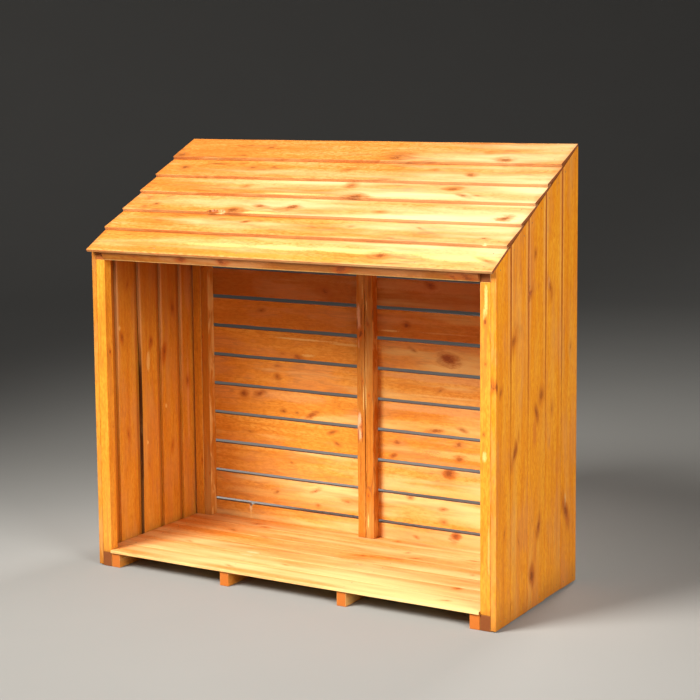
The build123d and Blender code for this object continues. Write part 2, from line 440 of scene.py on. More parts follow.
    # bleached patches where the stain is thin, plus a paling that is partly painted light and sheen
    thin = T.noise(T.mul_add(g, (1.5, 13, 13), off()), detail=3.0, rough=0.55)
    thin = T.math("MULTIPLY_ADD", T.math("SUBTRACT", streak, 0.5), 0.30, thin)
    thin = T.math("MULTIPLY_ADD", T.math("SUBTRACT", thin, 0.5), patchy, 0.5)
    # painted light as well as weather bleaching: paler in the middle, and more so towards the high end
    if bleach_and_light[0] or bleach_and_light[1]:
        thin = T.math("ADD", thin, T.math("MULTIPLY_ADD", lx, bleach_and_light[1] / hl, bleach_and_light[0]))
    if bleach_across:
        thin = T.math("MULTIPLY_ADD", qw, bleach_across / hw, thin)
    colour = T.mix(T.remap(thin, 0.46, 0.76, 0.0, pale), colour, pl)
    for (lw0, half, power, col, l0, l1) in lines:
        away = T.math("ABSOLUTE", T.math("ADD", qw, T.math("MULTIPLY_ADD", T.math("SUBTRACT", figure, 0.5), 0.004, -lw0)))
        f = T.remap(away, half * 1.4, half * 0.6, 0.0, power)
        if l0 is not None:
            f = T.math("MULTIPLY", f, T.remap(T.math("MULTIPLY_ADD", T.math("SUBTRACT", figure, 0.5), 0.10, ql), l0, l1))
        colour = T.mix(f, colour, col)
    grit = T.noise(T.mul_add(q, (110, 240, 240), off()), detail=2.0, rough=0.6)
    outline = T.math("MULTIPLY_ADD", figure, 1.5, T.math("MULTIPLY_ADD", streak, 1.1, T.math("MULTIPLY_ADD", grit, 1.0, -1.8)))
    for (sl, sw, rl, rw, power, col) in spots:
        d = T.vec("MULTIPLY", T.vec("SUBTRACT", q, (sl, sw, 0)), (1 / rl, 1 / rw, 0))
        r = T.vec("LENGTH", d, out=1)
        colour = T.mix(T.remap(T.math("ADD", r, outline), 1.15, 0.55, 0.0, power), colour, col)
    # knots: a smudge of deeper stain drawn out along the grain, and a small uneven core
    core = smudge = None
    if marks:
        blur = T.math("MULTIPLY_ADD", figure, 1.7, T.math("MULTIPLY_ADD", streak, 0.9, T.math("MULTIPLY", fleck, 0.9)))
        ragged = T.math("MULTIPLY_ADD", figure, 1.8, T.math("MULTIPLY_ADD", grit, 2.6, T.math("MULTIPLY", fleck, 1.2)))
        for d, kr, ks in marks:
            turn_by, drawn = rng.uniform(-0.5, 0.5), rng.uniform(0.9, 1.5)
            c, sn = math.cos(turn_by), math.sin(turn_by)
            u = T.vec("DOT_PRODUCT", d, (c / kr / drawn, sn / kr / drawn, 0), out=1)
            v = T.vec("DOT_PRODUCT", d, (-sn / kr * drawn, c / kr * drawn, 0), out=1)
            uv = T.join(u, v, 0.0)
            a = T.vec("LENGTH", T.vec("MULTIPLY", uv, (1 / 4.6, 1 / 2.9, 0)), out=1)
            a = T.remap(T.math("ADD", a, blur), 1.75 + 0.95, 1.75 + 0.10, 0.0, min(1.0, ks * 1.25))
            b = T.vec("LENGTH", T.vec("MULTIPLY", uv, (1 / 1.35, 1 / 1.05, 0)), out=1)
            b = T.remap(T.math("ADD", b, ragged), 2.8 + 1.05, 2.8 + 0.25, 0.0, ks)
            smudge = a if smudge is None else T.math("MAXIMUM", smudge, a)
            core = b if core is None else T.math("MAXIMUM", core, b)
        colour = T.mix(T.math("MULTIPLY", smudge, 0.92), colour, halo)
        colour = T.mix(T.math("MULTIPLY", core, core_power), colour, knot_core)
    # end grain soaks up more stain
    normal = T.add("ShaderNodeNewGeometry", out=1)
    end = T.remap(T.math("ABSOLUTE", T.vec("DOT_PRODUCT", normal, tuple(timber.L), out=1)), 0.55, 0.8)
    end_colour = T.mix(T.math("MULTIPLY", ring, 0.5), *ends)
    colour = T.mix(T.math("MULTIPLY", end, 0.92), colour, end_colour)
    # edges: arrises rubbed paler here and there, darker for a little way from each end
    to_edge = T.math("SUBTRACT", hw, T.math("ABSOLUTE", qw))
    rub = T.math("MULTIPLY", T.remap(to_edge, 0.0040, 0.0005), T.remap(figure, 0.46, 0.60))
    colour = T.mix(T.math("MULTIPLY", rub, rubbed), colour, PALE)
    to_end = T.math("MULTIPLY_ADD", T.math("SUBTRACT", streak, 0.5), 0.06, T.math("SUBTRACT", hl, T.math("ABSOLUTE", ql)))
    colour = T.mix(T.remap(to_end, 0.030, 0.0, 0.0, 0.22), colour, DARK)
    # painted shade: the faces along the long edges darkened towards edge_col
    if painted_edge_shade:
        on_edge = T.remap(T.math("ABSOLUTE", T.vec("DOT_PRODUCT", normal, tuple(timber.W), out=1)), 0.6, 0.85)
        colour = T.mix(T.math("MULTIPLY", on_edge, painted_edge_shade), colour, edge_col)
    if high_end:
        f = T.math("MULTIPLY_ADD", T.math("SUBTRACT", figure, 0.5), 0.10, T.math("SUBTRACT", hl, ql))
        colour = T.mix(T.remap(f, high_end[0], high_end[0] * 0.3, 0.0, high_end[1]), colour, high_end[2])
    # painted shade: the colour deepens towards one long edge, as light falls across the board
    if painted_shade_across:
        side = T.math("MULTIPLY", qw, 1 / hw)
        colour = T.mix(T.remap(side, 1.0, -1.0, 0.0, abs(painted_shade_across), "LINEAR") if painted_shade_across > 0 else
                       T.remap(side, -1.0, 1.0, 0.0, abs(painted_shade_across), "LINEAR"), colour, dp)
    ox, oy, oz = T.split(at)
    # painted shade: darker up high, where the roof shades the inside
    if painted_shade_high:
        f = T.math("MULTIPLY_ADD", T.math("SUBTRACT", blotch, 0.5), 0.5, oz)
        colour = T.mix(T.remap(f, *painted_shade_high[:2], 0.0, painted_shade_high[2]), colour, (0.26, 0.062, 0.006))
    if dirt:
        low_down = T.math("MULTIPLY_ADD", T.math("SUBTRACT", blotch, 0.5), 0.16, oz)
        colour = T.mix(T.remap(low_down, 0.13, 0.0, 0.0, dirt), colour, srgb(120, 62, 26))
    # surface
    rough_v = T.math("MULTIPLY_ADD", T.math("SUBTRACT", streak, 0.5), 0.22, rough)
    rough_v = T.math("MULTIPLY_ADD", end, 0.25, T.math("MULTIPLY_ADD", T.math("SUBTRACT", fibre, 0.5), 0.15, rough_v), clamp=True)
    height = T.math("MULTIPLY_ADD", ring, -0.35, T.math("MULTIPLY", fibre, 0.9))
    height = T.math("MULTIPLY_ADD", fleck, 0.35, T.math("MULTIPLY_ADD", grit, 0.25, height))
    if core is not None:
        height = T.math("MULTIPLY_ADD", core, -0.9, height)
    if saw:
        line_no = T.math("MULTIPLY_ADD", ql, 2 * math.pi / 0.0042,
                         T.math("MULTIPLY", T.noise(T.mul_add(q, (9, 9, 9), off())), 9.0))
        height = T.math("MULTIPLY_ADD", T.math("SINE", line_no), 0.16 * saw, height)
    bump = T.add("ShaderNodeBump", {"Strength": 0.6, "Distance": 0.0007, "Height": height})
    return T.finish(Base_Color=colour, Roughness=rough_v, Normal=bump, Specular_IOR_Level=0.30)


def nail_material():
    T = Tree("nail_steel")
    at = T.add("ShaderNodeTexCoord", out=3)
    a = T.noise(T.mul_add(at, (260, 260, 260), (3, 1, 8)), detail=3.0)
    b = T.noise(T.mul_add(at, (5, 5, 5), (7, 2, 4)), detail=1.0)
    colour = T.mix(T.remap(a, 0.42, 0.62), srgb(150, 146, 140), srgb(98, 92, 86))
    colour = T.mix(T.remap(T.math("ADD", a, T.math("MULTIPLY", b, 0.5)), 0.76, 0.92, 0.0, 0.8), colour, srgb(120, 66, 34))
    rough = T.remap(a, 0.3, 0.7, 0.38, 0.62, "LINEAR")
    bump = T.add("ShaderNodeBump", {"Strength": 0.4, "Distance": 0.0003, "Height": a})
    return T.finish(Base_Color=colour, Roughness=rough, Metallic=0.75, Normal=bump)


# ------------------------------------------------------------------ where the marks are
# In millimetres. Roof: X, and distance up the board. Back: X and height. Walls: depth and height. Floor: X and depth.
ROOF_KNOTS = {
    1: [(436, 64, 17, 0.95), (887, 59, 10, 0.6), (-620, 40, 7, 0.4)],
    2: [(-279, 102, 9, 0.8), (521, 112, 8, 0.5), (222, 98, 9, 0.35), (824, 57, 8, 0.7), (-760, 90, 6, 0.3)],
    3: [(-791, 55, 9, 0.8), (-837, 33, 8, 0.45), (-379, 25, 22, 1.0), (-268, 66, 12, 0.7), (-116, 69, 20, 1.0),
        (302, 57, 10, 0.6), (851, 42, 14, 0.75)],
    4: [(-422, 73, 9, 0.45), (73, 105, 11, 0.6), (143, 12, 19, 1.0), (544, 102, 12, 0.75), (611, 48, 11, 0.7),
        (668, 51, 8, 0.5)],
    5: [(-823, 67, 13, 0.8), (-472, 79, 12, 0.75), (1, 76, 11, 0.5), (576, 62, 12, 0.65), (399, 99, 7, 0.4)],
    6: [(-474, 104, 10, 0.6), (-900, 16, 13, 0.8), (184, 27, 25, 1.0), (686, 28, 15, 0.7), (586, 93, 8, 0.35)],
}
BACK_KNOTS = {
    1: [(398, 122, 10, 0.8), (210, 96, 5, 0.5)],
    2: [(-498, 210, 6, 0.6), (-296, 238, 8, 0.6), (-285, 172, 6, 0.5), (181, 264, 7, 0.5), (340, 233, 6, 0.55),
        (343, 177, 8, 0.5), (-132, 206, 8, 0.5)],
    3: [(369, 392, 11, 0.8), (-420, 350, 6, 0.4)],
    4: [(-206, 514, 7, 0.6), (-183, 468, 8, 0.7), (119, 505, 7, 0.6), (100, 441, 8, 0.85), (413, 520, 10, 0.6),
        (417, 452, 10, 0.7), (-640, 470, 6, 0.35)],
    5: [(-671, 649, 9, 0.75), (-584, 655, 9, 0.7), (-458, 581, 9, 0.85), (-389, 577, 7, 0.6), (-312, 573, 10, 0.85),
        (308, 569, 9, 0.75), (431, 585, 8, 0.6)],
    6: [(-490, 737, 7, 0.7), (-491, 782, 7, 0.45), (328, 740, 7, 0.45)],
    7: [(-383, 834, 10, 0.8), (-458, 842, 7, 0.4), (361, 878, 17, 1.0), (202, 905, 7, 0.45)],
    8: [(-570, 1028, 8, 0.7), (165, 1012, 8, 0.85), (600, 1010, 8, 0.5)],
    9: [(-236, 1131, 13, 0.9), (281, 1188, 13, 0.9)],
}
LEFT_KNOTS = {
    2: [(166, 958, 8, 0.75), (199, 530, 7, 0.6), (215, 1180, 6, 0.5)],
    3: [(379, 916, 7, 0.75), (342, 368, 6, 0.4), (400, 1330, 8, 0.6)],
    4: [(462, 856, 10, 0.85), (540, 1043, 10, 0.6), (520, 420, 7, 0.5)],
    5: [(640, 700, 9, 0.6), (690, 1210, 9, 0.6)],
    1: [(60, 620, 8, 0.6), (90, 1010, 7, 0.5)],
}
RIGHT_KNOTS = {
    1: [(38, 900, 7, 0.5), (70, 360, 7, 0.45), (3, 924, 6, 0.95)],
    2: [(153, 1078, 13, 0.75), (160, 646, 14, 0.75), (200, 300, 7, 0.4)],
    3: [(308, 1244, 10, 0.8), (350, 1386, 7, 0.55), (286, 997, 6, 0.6), (402, 832, 11, 0.6), (356, 769, 9, 0.7),
        (376, 320, 11, 0.8), (316, 137, 12, 0.95)],
    4: [(484, 1241, 13, 0.6), (500, 760, 7, 0.4)],
    5: [(643, 319, 15, 0.9), (690, 980, 8, 0.4)],
}
FLOOR_KNOTS = {
    1: [(700, 60, 8, 0.5), (-300, 50, 7, 0.4)],
    2: [(666, 219, 10, 0.75), (-100, 170, 7, 0.4)],
    3: [(167, 317, 9, 0.4), (-657, 274, 7, 0.4)],
    4: [(78, 430, 6, 0.6), (110, 440, 7, 0.7), (148, 451, 6, 0.6), (639, 405, 8, 0.7)],
    5: [(-596, 513, 10, 0.55), (-408, 484, 9, 0.5), (256, 565, 7, 0.5), (326, 505, 7, 0.6), (559, 590, 8, 0.6)],
    6: [(-561, 656, 12, 0.75), (135, 697, 7, 0.6), (-500, 630, 9, 0.6)],
}


def mm(*v):
    return tuple(x / 1000 for x in v)


def random_knots(t, rng, count, low=5, high=11):
    return [
        (rng.uniform(-0.9, 0.9) * t.half[0], rng.uniform(-0.75, 0.75) * t.half[1], rng.uniform(low, high) / 1000,
         rng.uniform(0.45, 0.85)) for _ in range(count)]


def placed(t, entries, to_world):
    """Knots given as (a, b, radius mm, strength), or spots as (a, b, half length, half width mm, strength, colour)."""
    out = []
    for e in entries:
        l, w, _ = t.at(to_world(e[0] / 1000, e[1] / 1000))
        out.append((l, w, e[2] / 1000, e[3]) if len(e) == 4 else (l, w, e[2] / 1000, e[3] / 1000, e[4], e[5]))
    return out


def fade(l, w, place, reach):
    """1 at a place on the timber, falling to 0 at its reach."""
    return smooth(1 - np.hypot((l - place[0]) / reach[0], (w - place[1]) / reach[1]))


def still(l):
    z = np.zeros_like(l)
    return [z.copy(), z.copy(), z.copy()]


pieces = {}

# roof: how pale each board is, (middle, more to the right), and how much paler its upper half is; the paling to the
# right is weather bleaching together with a painted sheen
ROOF_BLEACH_AND_SHEEN = {1: (0.05, 0.10, 0.04), 2: (0.04, 0.10, -0.01), 3: (0.09, 0.07, -0.02), 4: (0.07, 0.10, 0.0),
               5: (0.02, 0.11, -0.02), 6: (-0.026, 0.10, 0.0)}
ROOF_UP = {1: 2.5, 2: -6, 3: -4.5, 4: -1.5, 5: 5, 6: 0}
ROOF_LIFT = {1: 0.0, 2: 0.01136, 3: 0.01069, 4: 0.01077, 5: 0.01186, 6: 0.01005}
ROOF_THICK = {i: (0.012, 0.0105) if i == 1 else (0.014, 0.009) for i in range(1, 7)}
ROOF_SPOTS = {
    1: [(-300, 78, 190, 15, 0.5, PALE), (-20, 80, 190, 17, 0.6, PALE), (330, 82, 260, 18, 0.6, PALE),
        (780, 72, 180, 20, 0.8, PALE), (-560, 25, 330, 20, 0.6, RUST), (0, 22, 330, 16, 0.45, MID),
        (-700, 60, 180, 20, 0.35, RUST)],
    2: [(845, 7, 12, 9, 1.0, FRESH), (-690, 70, 200, 30, 0.4, RUST), (0, 25, 200, 10, 0.4, RUST)],
    # board 3's splinter: a dark patch painted as the shadow in its hollow, beside the fresh wood
    3: [(-470, 14, 30, 14, 0.9, DARK), (-419, 13, 19, 12, 1.0, FRESH), (-250, 14, 160, 8, 0.7, PALE)],
    4: [(-760, 60, 150, 40, 0.35, RUST), (-150, 15, 150, 8, 0.6, PALE)],
    5: [(-700, 60, 200, 45, 0.35, RUST)],
    6: [(-700, 60, 200, 50, 0.40, RUST), (-300, 100, 150, 35, 0.35, RUST)],
}
for i in range(1, 7):
    node = f"roof_board_{i}"
    t = Timber(f"{node}_wood", node, solids_of(node)[0], X, UP_ROOF, 100 + i, "roof_boards", round_edge=0.0012)
    start, up = ROOF_STARTS[i - 1], ROOF_UP[i] / 1000
    to_world = lambda a, b, s=start, d=up: ROOF_LOW + X * a + UP_ROOF * (s + b + d)
    extra = None
    if i in (2, 3):
        # a splinter broken out of the lower edge
        hl, hw, ht = t.half
        x0, x1, high, deep = (-0.505, -0.395, 0.027, 0.009) if i == 3 else (0.832, 0.858, 0.011, 0.005)
        t.finer(((x0 + x1) / 2, -hw + high / 2), ((x1 - x0) / 2 + 0.006, high / 2 + 0.006), (0.003, 0.003))
        lift, (t1, t0) = ROOF_LIFT[i], ROOF_THICK[i]

        def extra(l, w, tt, n, x0=x0, x1=x1, high=high, deep=deep, lift=lift, t1=t1, t0=t0, hw=hw, ht=ht):
            move = still(l)
            soft = (x1 - x0) * 0.18
            ends = smooth((l - x0) / soft) * smooth((x1 - l) / (soft * 1.6))
            jag = 0.82 + 0.18 * np.sin(l * 700) * np.sin(l * 260 + 1)
            d = deep * ends * smooth((high * ends * jag - (w + hw)) / 0.007 + 0.35)
            along = np.clip((w + hw) / (2 * hw), 0, 1)
            low, top = lift * (1 - along), (lift + t1) * (1 - along) + t0 * along
            move[2] -= d * np.clip((tt + ht - low) / (top - low), 0, 1)
            return move
    t.shape(face=0.0005, edge=0.0013, extra=extra)
    # each board's paling and the roof's cream tint below are weather bleaching together with a painted sheen
    b0, b1, b2 = ROOF_BLEACH_AND_SHEEN[i]
    pieces[t.name] = t.make(wood(
        # roof boards: the edge faces are painted darker as the shade under each lower lip
        t, placed(t, ROOF_KNOTS[i], to_world), pale=0.96, rings=0.6, streaks=0.9, bleach_and_light=(b0, b1), bleach_across=b2, speckle=0.75, hairs=0.8,
        rough=0.45, spots=placed(t, ROOF_SPOTS[i], to_world), halo=(0.44, 0.135, 0.022), knot_core=(0.22, 0.045, 0.008), core_power=0.75,
        ends=(srgb(128, 66, 28), srgb(80, 38, 16)), tint=(1.0, 1.09, 2.05), painted_edge_shade=0.55, edge_col=(0.33, 0.135, 0.055),
        # a dark line painted as the shadow where the next board's lower edge sits
        patchy=0.5, lines=[(ROOF_STARTS[i] - start - t.half[1] - 0.001, 0.0022, 0.5, DARK, None, None)] if i < 6 else []))

# back
# the ROSY patches along the upper part of the back boards are a painted reflection
BACK_SPOTS = {
    1: [(-642, 118, 9, 20, 0.9, FRESH), (-642, 95, 7, 40, 0.35, PALE), (300, 100, 600, 30, 0.5, ROSY)],
    2: [(-470, 200, 350, 22, 0.3, PALE)],
    3: [(350, 300, 300, 16, 0.5, PALE), (350, 395, 400, 12, 0.4, ROSY)],
    4: [(500, 470, 300, 20, 0.45, PALE), (350, 432, 300, 10, 0.35, ROSY)],
    5: [(-250, 560, 120, 16, 0.6, PALE), (-380, 650, 200, 25, 0.4, ROSY), (350, 655, 400, 18, 0.55, ROSY)],
    6: [(400, 790, 500, 16, 0.5, ROSY), (450, 715, 350, 6, 0.45, PALE)],
    7: [(-330, 912, 160, 4, 0.7, PALE), (-100, 905, 130, 5, 0.5, PALE), (300, 925, 400, 14, 0.35, ROSY),
        (-330, 842, 40, 7, 0.5, PALE)],
    8: [(84, 982, 48, 5, 0.95, PALE), (340, 985, 130, 4, 0.35, PALE), (100, 1030, 300, 14, 0.25, ROSY)],
    9: [(300, 1180, 500, 30, 0.25, ROSY)],
}
# painted shade on the upper back boards, under the roof
BACK_PAINTED_SHADE = {8: 0.15, 9: 0.5, 10: 0.5}
for i in range(1, 14):
    node = f"back_board_{i:02d}"
    t = Timber(f"{node}_wood", node, solids_of(node)[0], X, Z, 200 + i, "back_boards")
    to_world = lambda a, b, t=t: Vector((a, t.origin.y, b))
    extra = None
    if i == 1:
        # a chip out of the top edge
        hl, hw, ht = t.half
        t.finer((-0.642, hw - 0.010), (0.020, 0.014), (0.003, 0.003))

        def extra(l, w, tt, n, hw=hw):
            move = still(l)
            gone = smooth(1 - np.abs(l + 0.642) / 0.012) * 0.013
            move[1] -= gone * np.clip((w - (hw - 0.022)) / 0.022, 0, 1)
            return move
    t.shape(face=0.0005, edge=0.0014, extra=extra)
    rng = np.random.default_rng(900 + i)
    knots = placed(t, BACK_KNOTS[i], to_world) if i in BACK_KNOTS else random_knots(t, rng, 4)
    # back boards: the top and bottom faces seen through the gaps are painted almost black as the shadow in the gaps
    pieces[t.name] = t.make(wood(
        # back boards: painted shade deepening towards each board's lower edge
        t, knots, pale=0.7, rings=0.5, painted_shade_across=0.25, painted_edge_shade=0.95, edge_col=(0.10, 0.022, 0.004), rubbed=0.12, deep=BACK_PAINTED_SHADE.get(i, 0.0), rosy=0.3, speckle=0.5,
        halo=(0.40, 0.095, 0.008), hairs=0.45, streaks=0.7,
        # rows graded by height: the upper boards deeper as painted shade under the roof, the lower ones paler and
        # yellower as painted light near the open front and floor; their paling towards the right is painted light too
        tint=(0.66, 0.66, 0.72) if i >= 9 else (0.92, 1.0, 1.05) if i == 8 else (1.04, 1.2, 1.3) if i > 3 else (1.04, 1.32, 2.0),
        bleach_and_light=(-0.045 + max(0, 6 - i) * 0.024, 0.19), spots=placed(t, BACK_SPOTS.get(i, []), to_world)))

# walls
UP_HIGH = {2: 0.0030, 3: 0.0046, 4: 0.0034, 5: 0.0036}
LEFT_SPOTS = {2: [(150, 1000, 12, 10, 0.5, PALE)], 3: [(330, 470, 14, 8, 0.6, PALE), (345, 830, 40, 14, 0.4, PALE)],
              4: [(470, 610, 12, 10, 0.5, PALE)], 5: [(640, 640, 260, 10, 0.35, ROSY), (650, 1120, 120, 26, 0.35, ROSY)]}
RIGHT_SPOTS = {2: [(180, 1020, 260, 8, 0.3, RUST)],
               # the near-black spot on board 3 is the painted shadow in the notch at the joint
               3: [(296, 1244, 22, 9, 1.0, (0.05, 0.012, 0.002)), (340, 690, 60, 16, 0.7, RUST)],
               4: [(470, 1262, 30, 12, 0.5, ROSY)],
               5: [(640, 345, 50, 8, 0.7, FRESH), (655, 285, 70, 14, 0.75, RUST)]}
for side, table, spots, seed in (("left", LEFT_KNOTS, LEFT_SPOTS, 300), ("right", RIGHT_KNOTS, RIGHT_SPOTS, 400)):
    for i in range(1, 6):
        node = f"{side}_side_board_{i}"
        t = Timber(f"{node}_wood", node, solids_of(node)[0], Z, Y, seed + i, "side_cladding")
        to_world = lambda a, b, t=t: Vector((t.origin.x, a - Y_MID, b))
        hl, hw, ht = t.half
        mid_z, out = t.origin.z, (-1 if side == "right" else 1)
        extra = None
        if (side, i) == ("left", 3):
            # its front edge has warped inward, clear of the board before it

            def extra(l, w, tt, n, z0=mid_z, hw=hw):
                move = still(l)
                z = l + z0
                bent = smooth((z - 0.10) / 0.30) * smooth((1.30 - z) / 0.45)
                move[2] -= 0.0045 * bent * smooth(1 - (w + hw) / (1.2 * hw))
                return move
        elif side == "right" and i > 1:
            # the joint stands open, more so up high
            wide = UP_HIGH[i]
            if i == 3:
                t.finer((1.244 - mid_z, -hw + 0.024), (0.026, 0.016), (0.003, 0.002))

            def extra(l, w, tt, n, z0=mid_z, hw=hw, ht=ht, wide=wide, i=i):
                move = still(l)
                z = l + z0
                open_ = wide * (0.25 + 0.75 * smooth((z - 0.55) / 0.75))
                lip = (np.abs(w + hw - 0.0135) < 0.0035) & (tt < -ht + 0.0072)
                move[1] += np.where(lip, open_, 0.0)
                if i == 3:
                    move[2] += 0.0065 * fade(l, w, (1.244 - z0, -hw + 0.024), (0.024, 0.013)) * np.clip((-tt + 0.002) / ht, 0, 1)
                return move
        t.shape(face=0.0005, edge=0.0005, extra=extra)
        lines = []
        if side == "left":
            if i > 1:
                # a pale line painted as the highlight on each board's lit front edge
                lines.append((-hw + 0.0040, 0.0075, 0.85, (0.84, 0.46, 0.18), 0.65 - mid_z, 1.2 - mid_z))
                if i == 3:
                    # board 3's opened joint is painted nearly black, as its shadow
                    lines.append((-hw + 0.0008, 0.0030, 0.95, (0.05, 0.014, 0.004), 0.98 - mid_z, 0.78 - mid_z))
            if i < 5:
                # a dark line painted as the shadow in front of the next board's step
                lines.append((hw - 0.020, 0.008, 0.55, DARK, None, None))
        elif i > 1:
            high = 1.0 - mid_z
            # a dark line painted as the shadow in the open joint, and a pale one behind it as a highlight
            lines.append((-hw + 0.0145 + UP_HIGH[i] * 0.4, 0.0032, 0.9, DARK, high - 0.65, high + 0.35))
            lines.append((-hw + 0.0270, 0.0045, 0.15, PALE, high - 0.4, high + 0.4))
        if side == "right" and i < 5:
            # at the rear joint the same: a dark line painted as its shadow, and a pale one in front of it as a
            # highlight
            lines.append((hw - 0.0030, 0.0022, 0.6, DARK, 0.2 - mid_z, 1.2 - mid_z))
            lines.append((hw - 0.016, 0.007, 0.20, PALE, 0.5 - mid_z, 1.5 - mid_z))
        pieces[t.name] = t.make(wood(
            t, [(l, w, r * 1.25, k) for l, w, r, k in placed(t, table[i], to_world)], pale=0.16, rings=0.7, streaks=0.8,
            deep=0.1, dirt=0.35, rosy=0.15, lines=lines, rubbed=0.1, halo=(0.46, 0.11, 0.008),
            # the left wall's inside gets painted shade up high, under the roof
            painted_shade_high=(0.65, 1.45, 0.55) if side == "left" else None, tint=(1.06, 1.10, 0.36) if side == "right" else (0.84, 0.94, 0.62),
            spots=placed(t, [(a, b, rl, rw, p, c) for a, b, rl, rw, p, c in spots.get(i, [])], to_world),
            wavy=1.2))

# frame
for side, seed in (("left", 500), ("right", 520)):
    for k, (part, along) in enumerate((("front_post", Z), ("rear_post", Z), ("top_rail", UP_ROOF), ("bottom_rail", Y))):
        node = f"{side}_{part}"
        across = Y if node == "left_front_post" else X
        t = Timber(f"{node}_wood", node, solids_of(node)[0], along, across, seed + k, "frame_timber", round_edge=0.0022)
        extra, spots = None, []
        rng = np.random.default_rng(seed + 40 + k)
        knots = random_knots(t, rng, 3, 4, 8)
        if node == "right_front_post":
            face = lambda a, b, t=t: Vector((a, t.origin.y, b))
            knots = placed(t, [(895, 1163, 7, 0.95), (886, 746, 5, 0.6), (893, 1010, 6, 0.5)], face)
            spots = placed(t, [(893, 1248, 60, 7, 0.6, PALE), (886, 1190, 34, 5, 0.5, PALE), (904, 1225, 45, 3, 0.6, RUST), (886, 662, 22, 10, 0.6, PALE),
                               (892, 1090, 75, 7, 0.55, RUST), (905, 300, 120, 5, 0.3, PALE)], face)
            hl, hw, ht = t.half
            t.finer((1.245 - t.origin.z, 0.0), (0.07, 0.02), (0.006, 0.004))

            def extra(l, w, tt, n, z0=t.origin.z, x0=t.origin.x, ht=ht):
                move = still(l)
                hollow = fade(l, w, (1.245 - z0, 0.893 - x0), (0.065, 0.012)) + 0.8 * fade(l, w, (0.662 - z0, 0.886 - x0), (0.028, 0.016))
                move[2] += 0.0022 * hollow * np.clip(-tt / ht, 0, 1)
                return move
        elif node == "left_front_post":
            knots = placed(t, [(23, 920, 7, 0.95), (30, 600, 5, 0.5)], lambda a, b, t=t: Vector((t.origin.x, a - Y_MID, b)))
        t.shape(face=0.0004, edge=0.0005, extra=extra)
        low = part == "bottom_rail"
        pieces[t.name] = t.make(wood(
            t, knots, pale=0.10, rings=0.6, dirt=0.3 if low else 0.15, spots=spots, rubbed=0.0 if across == Y else 0.3,
            # the left rear post gets painted shade up high, under the roof
            painted_shade_high=(0.8, 1.5, 0.3) if node == "left_rear_post" else None, tint=(1.0, 1.10, 0.66) if side == "right" else (0.96, 1.10, 0.75),
            ends=(srgb(186, 104, 46), srgb(132, 70, 30)) if node == "left_top_rail" else (srgb(120, 62, 28), srgb(78, 38, 18))))
for k, node in enumerate(("front_header", "rear_top_rail")):
    t = Timber(f"{node}_wood", node, solids_of(node)[0], X, Z if k else OFF_ROOF, 540 + k, "frame_timber", round_edge=0.0022)
    t.shape(face=0.0004, edge=0.0008)
    on_face = lambda a, b: Vector((a, (-24 + (1348.9 - b * 1000) / 38.5 * 21.35) / 1000 - Y_MID, b))
    knots = placed(t, [(-463, 1336, 10, 0.9), (-267, 1333, 13, 1.0), (286, 1332, 12, 1.0), (822, 1326, 17, 1.0),
                       (763, 1324, 8, 0.8), (-700, 1335, 6, 0.5)], on_face) if k == 0 else random_knots(t, np.random.default_rng(91), 4, 4, 8)
    # a pale line painted as the highlight along the header's lower edge
    lines = [(-t.half[1] + 0.002, 0.003, 0.45, PALE, None, None)] if k == 0 else []
    pieces[t.name] = t.make(wood(t, knots, pale=0.25, rings=0.5, deep=0.2, rosy=0.4, lines=lines, halo=(0.42, 0.085, 0.008),
        spots=placed(t, [(420, 1333, 460, 30, 0.45, (0.26, 0.07, 0.010))], on_face) if k == 0 else [], speckle=0.6, hairs=0.6,
        # both rails are toned down as painted shade under the roof edge
        tint=(0.57, 0.54, 0.44)))
TORN = (0.80, 0.46, 0.27)
BATTEN_SPOTS = {
    "centre_post_left": [(-43, 1050, 60, 10, 0.95, TORN), (-30, 1052, 62, 3.5, 0.9, DARK), (-51, 1012, 26, 4, 0.7, DARK),
                         (-38, 1000, 22, 5, 0.7, TORN), (-44, 936, 28, 4, 0.6, TORN), (-42, 570, 60, 10, 0.95, TORN),
                         (-29, 560, 56, 3.5, 0.9, DARK), (-48, 524, 30, 4, 0.7, DARK), (-30, 760, 90, 2.5, 0.6, DARK),
                         (-22, 690, 80, 2.2, 0.7, PALE), (-24, 1150, 60, 3, 0.5, PALE), (-38, 330, 110, 2.5, 0.5, DARK)],
    "centre_post_right": [(-5, 1090, 30, 3, 0.85, PALE), (-10, 690, 65, 2.0, 0.85, PALE), (-8, 860, 90, 1.8, 0.6, PALE),
                          (12, 1180, 60, 8, 0.5, DARK), (-6, 400, 140, 2.0, 0.55, DARK), (-2, 150, 30, 3, 0.7, PALE),
                          (10, 560, 150, 2.2, 0.4, DARK)],
}
BATTEN_KNOTS = {"centre_post_left": [(-44, 966, 10, 1.0), (-40, 560, 6, 0.6), (-30, 760, 6, 0.6)],
                "centre_post_right": [(8, 1010, 7, 0.5), (-2, 260, 7, 0.7), (6, 700, 5, 0.5)]}
